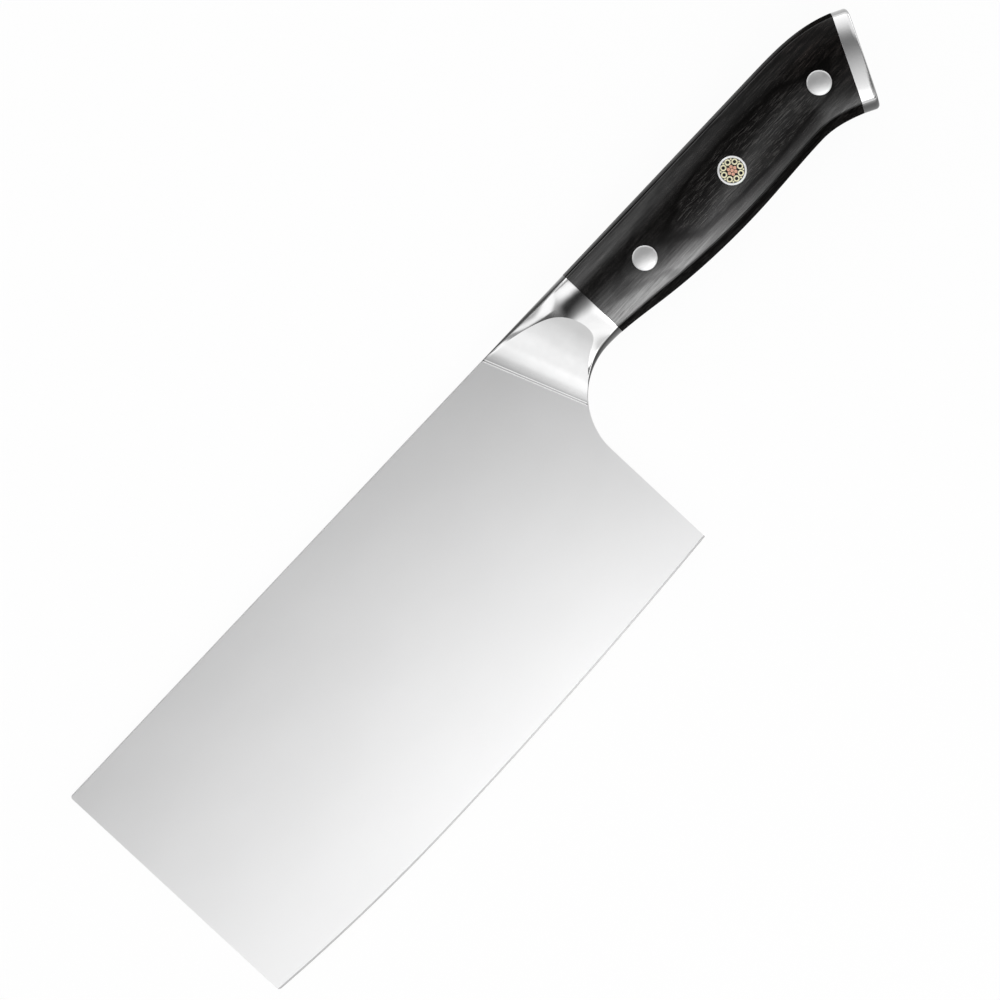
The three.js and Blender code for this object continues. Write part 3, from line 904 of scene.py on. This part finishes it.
def makeTang():
    rings = [tangRing(bolsterRib(tang["root"]), tang["rootInset"])]  # rooted inside the bolster
    rings += [tangRing(handleRib(t), 0) for t in steps(handle["ribs"])]
    finishPiece(skinOver("tang", rings), ["blade"], bolsterFinish, tang["smoothTo"])


makeTang()
print("tang made")

# Pins, made too long and then ground flush with the handle's sides

flush = {"rough": 20, "beyond": 15, "smoothTo": 35}  # rough end, and what counts as one, from the mid-plane
rivet = {
    "front": 19.8,
    "rear": 91.35,
    "below": 0.6,
    "headRadius": 3.7,
    "headDepth": 2.4,
    "tubeRadius": 2.5,
    "shankRadius": 1.6,
    "shankGap": 0.02,
    "endGap": 0.6,
    "rim": 0.14,
    "rimDrop": 0.6,
    "dome": 0.24,
    "faceRings": (0.02, 0.12, 0.35, 0.6, 0.6, 0.6, 0.6),  # let the face follow the handle's crown
    "facets": 96,
    "clear": 0.04,
}


def pinPlace(x):
    return (x, (spineLine(x) + bellyLine(x)) / 2 - rivet["below"])


rivetPlaces = {"front": pinPlace(rivet["front"]), "rear": pinPlace(rivet["rear"])}
mosaicPlace = pinPlace((rivet["front"] + rivet["rear"]) / 2)


def groundFlush(piece):
    for vertex in piece.data.vertices:
        x, y, z = toKnife(vertex.co)
        if abs(z) > flush["beyond"]:
            vertex.co = inFrame(x, y, math.copysign(sideHeight(x, y) + abs(z) - flush["rough"], z))
    piece.data.update()


def crownHead(piece, x, y, side):  # a fine rounded rim and a slight dome
    for vertex in piece.data.vertices:
        kx, ky, kz = toKnife(vertex.co)
        if abs(kz) > flush["beyond"]:
            off = rivet["headRadius"] - math.hypot(kx - x, ky - y)
            drop = rivet["rim"] * max(1 - off / rivet["rim"], 0) ** 2 * rivet["rimDrop"]
            drop -= rivet["dome"] * (1 - (1 - off / rivet["headRadius"]) ** 2)
            vertex.co = inFrame(kx, ky, kz - side * drop)


def makeRivet(end, side, node):
    x, y = rivetPlaces[end]
    seat = sideHeight(x, y) - rivet["headDepth"]
    male = side > 0
    low, high = sorted((side * seat, side * flush["rough"]))
    piece = cylinder(f"pin_{node}", x, y, low, high, rivet["headRadius"], rivet["facets"])
    endFaces(piece, side)
    for width in rivet["faceRings"]:
        insetFaces(width)
    bpy.ops.object.mode_set(mode="OBJECT")
    crownHead(piece, x, y, side)
    endFaces(piece, -side)
    shank = rivet["shankRadius"] if male else rivet["tubeRadius"]
    insetFaces(rivet["headRadius"] - shank)
    reach = 2 * seat - (rivet["endGap"] if male else rivet["shankGap"])
    extrudeFaces(-side * reach)
    if not male:  # the bore that takes the shank
        insetFaces(shank - rivet["shankRadius"] - rivet["shankGap"])
        extrudeFaces(side * reach)
    bpy.ops.object.mode_set(mode="OBJECT")
    groundFlush(piece)
    tidyMesh(piece)
    finishPiece(piece, [node], rivetFinish, flush["smoothTo"])


for end in rivetPlaces:
    makeRivet(end, 1, f"{end}_rivet_male")
    makeRivet(end, -1, f"{end}_rivet_female")
print("rivets made")

mosaic = {
    "radius": 4.25,
    "wall": 0.55,
    "gap": 0.02,
    "film": 0.1,
    "brassRadius": 0.93,
    "boreRadius": 0.5,
    "brassCount": 8,
    "brassStart": 27.8,
    "rodsAcross": 3,
    "rodsAround": 6,
    "rim": 0.04,
    "faceRings": (0.25, 0.25, 0.25),  # shares of a pin's radius
    "resinSunk": 0.05,
    "coreSunk": 0.03,
    "tubeFacets": 96,
    "brassFacets": 40,
    "rodFacets": 32,
    "wireFacets": 24,
}
castRadius = mosaic["radius"] - mosaic["wall"] - mosaic["gap"]
brassRing = castRadius - mosaic["brassRadius"] - mosaic["film"]
wireReach = castRadius - mosaic["film"]
tubeReach = mosaic["brassRadius"] + mosaic["film"]
bothReach = wireReach + tubeReach
pitchShare = math.cos(math.pi / mosaic["brassCount"])
wireRing = (bothReach**2 - brassRing**2) / (2 * (bothReach - brassRing * pitchShare))  # touches both its tubes
wireRadius = wireReach - wireRing
copperRoom = 2 * (brassRing - mosaic["brassRadius"] - mosaic["film"])
copperPitch = (copperRoom + mosaic["film"]) / mosaic["rodsAcross"]
copperRadius = (copperPitch - mosaic["film"]) / 2


def ringOf(count, radius, start):
    turns = [math.radians(start) + 2 * math.pi * i / count for i in range(count)]
    return [(mosaicPlace[0] + radius * math.cos(a), mosaicPlace[1] + radius * math.sin(a)) for a in turns]


def makePin(node, spot, radius, bore, slot, finish, facets, sunk=0.0):
    piece = cylinder(f"pin_{node}", *spot, -flush["rough"], flush["rough"], radius, facets)
    endFaces(piece, 0)
    if bore:
        insetFaces(radius - bore)
        bpy.ops.mesh.bridge_edge_loops()
    else:
        for share in mosaic["faceRings"]:
            insetFaces(share * radius)
    bpy.ops.object.mode_set(mode="OBJECT")
    soften(piece, mosaic["rim"])
    for vertex in piece.data.vertices:
        vertex.co.z += math.copysign(sunk * millimetre, midZ - vertex.co.z)
    groundFlush(piece)
    tidyMesh(piece)
    finishPiece(piece, [node], finish, flush["smoothTo"])


def makeMosaic():
    count, start, facets = mosaic["brassCount"], mosaic["brassStart"], mosaic["tubeFacets"]
    steel = (mosaic["radius"], mosaic["radius"] - mosaic["wall"])  # outer and inner radius
    brassTube = (mosaic["brassRadius"], mosaic["boreRadius"])
    core, cast = (mosaic["boreRadius"] - mosaic["gap"], 0), (castRadius, 0)
    makePin("mosaic_outer_tube", mosaicPlace, *steel, "polished_steel", ringFinish, facets)
    makePin("mosaic_resin", mosaicPlace, *cast, "black_resin", resinFinish, facets, mosaic["resinSunk"])
    facets = mosaic["rodFacets"]
    for i, spot in enumerate(ringOf(count, brassRing, start), 1):
        makePin(f"mosaic_brass_tube_{i}", spot, *brassTube, "brass", brassFinish, mosaic["brassFacets"])
        makePin(f"mosaic_tube_core_{i}", spot, *core, "black_resin", resinFinish, facets, mosaic["coreSunk"])
    for i, spot in enumerate([mosaicPlace] + ringOf(mosaic["rodsAround"], copperPitch, 0), 1):
        makePin(f"mosaic_copper_rod_{i}", spot, copperRadius, 0, "copper", copperFinish, facets)
    for i, spot in enumerate(ringOf(count, wireRing, start + 180 / count), 1):
        makePin(f"mosaic_gap_wire_{i}", spot, wireRadius, 0, "brass", brassFinish, mosaic["wireFacets"])


makeMosaic()
print("mosaic pin made")

# Scales: contoured wood with crisp but softened creases, drilled for the pins

drill = {"reach": 14, "facets": 96}


def drillHole(piece, side, spot, near, radius):
    ends = sorted((side * near, side * drill["reach"]))
    tool = cylinder("drill", *spot, *ends, radius + rivet["clear"], drill["facets"])
    boolean(piece, tool, "DIFFERENCE")


def makeScale(side, node):
    low = tang["half"] + scaleGap
    trim = scaleGap / handle["bellyLength"]
    rings = []
    for t in steps(handle["ribs"]):
        form = handleRib(trim + t * (1 - 2 * trim))
        rings.append([onRib(form, a, side * z) for a, z in sideProfile(form, low)])
    piece = skinOver(f"wood_{node}", rings)
    for spot in rivetPlaces.values():
        seat = sideHeight(*spot) - rivet["headDepth"] - rivet["clear"]
        drillHole(piece, side, spot, 0, rivet["tubeRadius"])
        drillHole(piece, side, spot, seat, rivet["headRadius"])
    drillHole(piece, side, mosaicPlace, 0, mosaic["radius"])
    finishPiece(piece, [node], woodFinish, handle["smoothTo"])


makeScale(1, "scale_upper")
makeScale(-1, "scale_lower")
print("scales made")

# Butt cap: the handle's last section carried on, with rounded rims and a slightly domed face

cap = {
    "thickness": 5.2,
    "corner": 1.3,
    "rim": 0.35,
    "dome": 0.22,
    "crease": 0.9,
    "creaseMost": 0.4,  # of the height at the crease
    "seam": [(0.03, 0.04), (0.08, 0)],  # distance from the wood, and inset
    "faceLeft": 0.3,
    "rimSteps": 24,
    "domeSteps": 40,
    "smoothTo": 35,
}


def capRing(out, endInset, sideInset):
    form = handleRib(1)
    outward = Vector((-form["way"].y, form["way"].x))
    top = form["top"] + outward * out + form["way"] * endInset
    bottom = top + form["way"] * (form["length"] - 2 * endInset)
    half, crease = form["half"] - sideInset, form["crease"] - sideInset
    turn = min(cap["crease"], cap["creaseMost"] * crease)
    section = rib(top, bottom, half, crease, form["spineInset"], form["bellyInset"], turn)
    return around([onRib(section, a, z) for a, z in sideProfile(section, 0)])


def makeCap():
    rings = [capRing(out, inset, inset) for out, inset in cap["seam"]]
    face = cap["thickness"] - cap["dome"]
    for t in steps(cap["rimSteps"]):
        angle = math.pi / 2 * t
        fromRim = cap["corner"] * (1 - math.sin(angle))
        run = max(cap["rim"] - fromRim, 0)
        sideInset = cap["rim"] - math.sqrt(cap["rim"] ** 2 - run**2)
        rings.append(capRing(face - fromRim, cap["corner"] * (1 - math.cos(angle)), sideInset))
    deepest = handleRib(1)["crease"] - cap["faceLeft"]
    for t in steps(cap["domeSteps"])[1:]:
        endInset, sideInset = (cap[k] + (deepest - cap[k]) * t for k in ("corner", "rim"))
        rings.append(capRing(cap["thickness"] - cap["dome"] * (1 - t) ** 2, endInset, sideInset))
    finishPiece(skinOver("end_cap_body", rings), ["end_cap"], capFinish, cap["smoothTo"])


makeCap()
print("end cap made")

# Stage: a pale floor on which the knife rests on its handle and the front of the blade,
# rising to a bowl far out

stage = {
    "size": 34.0,
    "flat": 7.0,
    "rise": 0.16,
    "cells": 170,
    "frontInset": 1,  # where the floor meets the blade, behind its front, in millimetres
    "frontLift": 0.02,
    "handleDrop": 0.22,
    "roll": -0.0105,
    "matte": 0.95,
    "whitens": (0.25, 1.2, 0.95, 1.0),  # away from the knife, in metres
}


def floorHeight(x, y):  # a plane under the front corners of the blade and the handle's swell
    frontX, frontZ = frontTop.x + stage["frontInset"], stage["frontLift"] - blade["spineHalf"]
    swellX, swellHalf, _ = handle["half"][1]
    slope = (-swellHalf - stage["handleDrop"] - frontZ) / (swellX - frontX)
    knifeX, knifeY, _ = toKnife(Vector((x, y, 0)))
    return midZ + (frontZ + slope * (knifeX - frontX) + stage["roll"] * knifeY) * millimetre


def floorFinish():  # white to the camera and in reflections, and matte for light and shadow
    g = Graph("floor")
    sight = g.add("ShaderNodeLightPath").socket.node.outputs
    seen, mirrored, through = (Wire(g, sight[f"Is {ray} Ray"]) for ray in ("Camera", "Glossy", "Transmission"))
    spot = g.add("ShaderNodeTexCoord", out="Object")
    far = g.add("ShaderNodeVectorMath", {"operation": "LENGTH"}, {0: spot}, "Value")
    share = seen.most(mirrored).most(through) * g.span(far, *stage["whitens"])
    white = g.add("ShaderNodeEmission", {}, {"Color": (1, 1, 1, 1), "Strength": 1.0})
    matte = g.add("ShaderNodeBsdfDiffuse", {}, {"Color": (*grey(stage["matte"]), 1)})
    return g.insteadOf(g.add("ShaderNodeMixShader", {}, {0: share, 1: matte, 2: white}))


def makeFloor():
    bare()
    cells = stage["cells"]
    bpy.ops.mesh.primitive_grid_add(x_subdivisions=cells, y_subdivisions=cells, size=stage["size"])
    floor = bpy.context.object
    floor.name = floor.data.name = "floor"
    for vertex in floor.data.vertices:
        x, y, _ = vertex.co
        out = max(math.hypot(x, y) - stage["flat"], 0)
        vertex.co.z = floorHeight(x, y) + stage["rise"] * out * out
    floor.data.update()
    choose(floor)
    bpy.ops.object.shade_smooth()
    floor.data.materials.append(floorFinish())


makeFloor()
print("floor made")

# Studio: a large softbox above with a graded face, dark over the handle so that the black wood stays black,
# and three plain panels at the sides

softbox = {
    "height": 0.61,
    "x": (-1.45, 0.5),
    "y": (-1.3, 0.9),
    "least": 0.02,
    "heelTilt": 0.31,
    "bellyTilt": -0.59,
    "buttTilt": 0.52,
    "buttAt": 0.157,
    "bendFrom": -0.15,  # the band over the spine bends away from here to the front
    "bendMost": 0.175,
    "bend": 0.35,
    "bendCube": 15,
    "notchBend": 0.4,
    "handleAt": (0.08, 0.05),
    "asideTilt": 0.4,
}
# Level of each soft-edged patch of light, and its ramps on the card, in metres
patches = {
    "spineFade": {"level": 0.66, "y": [(-0.055, 0.08, 1, 0)]},  # three that grade the blade from edge to spine
    "wideFade": {"level": 0.585, "y": [(-0.07, 0.165, 1, 0)]},
    "edgeFade": {"level": 0.1, "y": [(-0.3, -0.1, 1, 0)]},
    "dip": {  # takes a little off near the spine
        "level": 0.08,
        "y": [(-0.05, 0.0), (0.03, 0.09, 1, 0)],
        "x": [(-0.28, -0.22), (-0.1, -0.06, 1, 0)],
    },
    "lift": {"level": 0.22, "heelward": [(0.01, 0.05, 1, 0)], "x": [(-0.18, -0.12), (-0.065, -0.025, 1, 0)]},
    "heel": {"level": 0.55, "y": [(-0.1, 0.0, 1, 0)], "x": [(-0.05, 0.0)]},
    "front": {"level": 1, "x": [(-0.42, -0.27, 1, 0)]},
    "frontFace": {"level": 1.1, "y": [(0.2, 0.3, 1, 0)]},
    "frontEdge": {"level": 0.27, "y": [(-0.33, -0.2, 1, 0)], "x": [(-0.75, -0.5)]},
    "bladeEnds": {"level": 1, "x": [(0.022, 0.053, 1, 0.05), (-0.95, -0.3, 0.75, 1)]},
    "belly": {  # the grey sheen along the belly of the handle
        "level": 4.1,
        "bellyward": [(-0.2232, -0.0862, 1, 0)],
        "y": [(-0.42, -0.32)],
        "x": [(-0.03, 0.0), (0.04, 0.15, 1, 0.45)],
    },
    "butt": {"level": 1.18, "besideButt": [(0.015, 0.045, 1, 0)], "y": [(-0.13, 0.2, 1, 0)]},
    "band": {"level": 1, "bent": [(0.185, 0.265)], "x": [(-0.01, 0.02, 1.37, 1.1)]},  # along the spine
    "notch": {"level": 0.75, "notched": [(0.32, 0.40)], "x": [(-0.36, -0.28)]},
    "crest": {"level": 1.25, "y": [(0.455, 0.53)], "x": [(-0.5, -0.4), (-0.12, -0.04, 1, 0)]},
    "spineEnds": {"level": 1, "y": [(0.58, 0.72, 1, 0.4)], "x": [(0.04, 0.12, 1, 0.35)]},
    "tip": {"level": 1.1, "y": [(0.05, 0.15)], "x": [(0.24, 0.27)]},
    "aside": {"level": 0.7, "away": [(0.36, 0.55)], "outer": [(0.12, 0.3)], "x": [(-0.12, -0.04)]},
}


def softboxFinish():
    g = Graph("softbox")
    x, y, _ = g.split(g.add("ShaderNodeTexCoord", out="Object"))
    fromX, fromY = x - softbox["handleAt"][0], y - softbox["handleAt"][1]
    back = (-1 * (x - softbox["bendFrom"]).most(-softbox["bendMost"])).most(0)
    ways = {
        "x": x,
        "y": y,
        "heelward": y - softbox["heelTilt"] * x,
        "bellyward": y - softbox["bellyTilt"] * x,
        "besideButt": abs(x - softbox["buttTilt"] * y - softbox["buttAt"]),
        "bent": y - softbox["bend"] * back - softbox["bendCube"] * back * back * back,
        "notched": y - softbox["notchBend"] * back,
        "away": (fromX * fromX + fromY * fromY) ** 0.5,
        "outer": x.most(y - softbox["asideTilt"] * x),
    }

    def lit(name):
        light = patches[name]["level"]
        for way, value in ways.items():
            for ramp in patches[name].get(way, []):
                light = light * g.span(value, *ramp)
        return light

    grade = lit("spineFade") + lit("wideFade") + lit("edgeFade") - lit("dip") + lit("lift") + lit("heel")
    front = lit("front")
    overBlade = (grade * (1 - front) + front * (lit("frontFace") + lit("frontEdge"))) * lit("bladeEnds")
    overSpine = (lit("band") * (1 - lit("notch"))).most(lit("crest")) * lit("spineEnds")
    glow = overBlade + overSpine + lit("belly") + lit("butt") + lit("tip") + lit("aside") + softbox["least"]
    return g.insteadOf(g.add("ShaderNodeEmission", {}, {"Color": glow, "Strength": 1.0}))


def makeSoftbox():
    bare()
    bpy.ops.mesh.primitive_plane_add(size=1, location=(0, 0, 0))
    card = bpy.context.object
    card.name = card.data.name = "softbox"
    for vertex in card.data.vertices:
        x, y, _ = vertex.co
        vertex.co = (softbox["x"][x > 0], softbox["y"][y > 0], softbox["height"])
    card.data.update()
    card.visible_camera = False
    card.data.materials.append(softboxFinish())


makeSoftbox()

panels = {
    "spine_panel": {"at": (0.0, 1.25, 0.75), "size": (1.4, 0.9), "radiance": 1.6},
    "edge_panel": {"at": (0.0, -1.25, 0.75), "size": (1.4, 0.9), "radiance": 1.6},
    "butt_panel": {"at": (1.35, 0.0, 0.75), "size": (0.9, 1.2), "radiance": 1.6},
}

for name, lamp in panels.items():
    bare()
    aim = (-Vector(lamp["at"])).to_track_quat("-Z", "Y").to_euler()
    bpy.ops.object.light_add(type="AREA", location=lamp["at"], rotation=aim)
    light = bpy.context.object
    light.name = light.data.name = name
    light.data.shape = "RECTANGLE"
    light.data.size, light.data.size_y = lamp["size"]
    light.data.energy = lamp["radiance"] * math.pi * lamp["size"][0] * lamp["size"][1]
    light.visible_camera = False

surround = {"Color": (1, 1, 1, 1), "Strength": 0.1}
world = bpy.data.worlds.new("studio")
bpy.context.scene.world = world
world.use_nodes = True
for socket, value in surround.items():
    world.node_tree.nodes["Background"].inputs[socket].default_value = value

# Camera: square to the blade, with the knife turned in the picture

camera = {"at": (-59.9, -31.55), "width": 290, "lens": 600, "sensor": 36, "turn": -46.67, "clipEnd": 100}
bare()
high = camera["width"] * camera["lens"] / camera["sensor"]
spot = inFrame(*camera["at"], high)
bpy.ops.object.camera_add(location=spot, rotation=(0, 0, math.radians(camera["turn"])))
eye = bpy.context.object
eye.data.lens = camera["lens"]
eye.data.sensor_width = camera["sensor"]
eye.data.clip_end = camera["clipEnd"]
bpy.context.scene.camera = eye
bpy.context.scene.view_settings.view_transform = "Standard"
print("studio made")
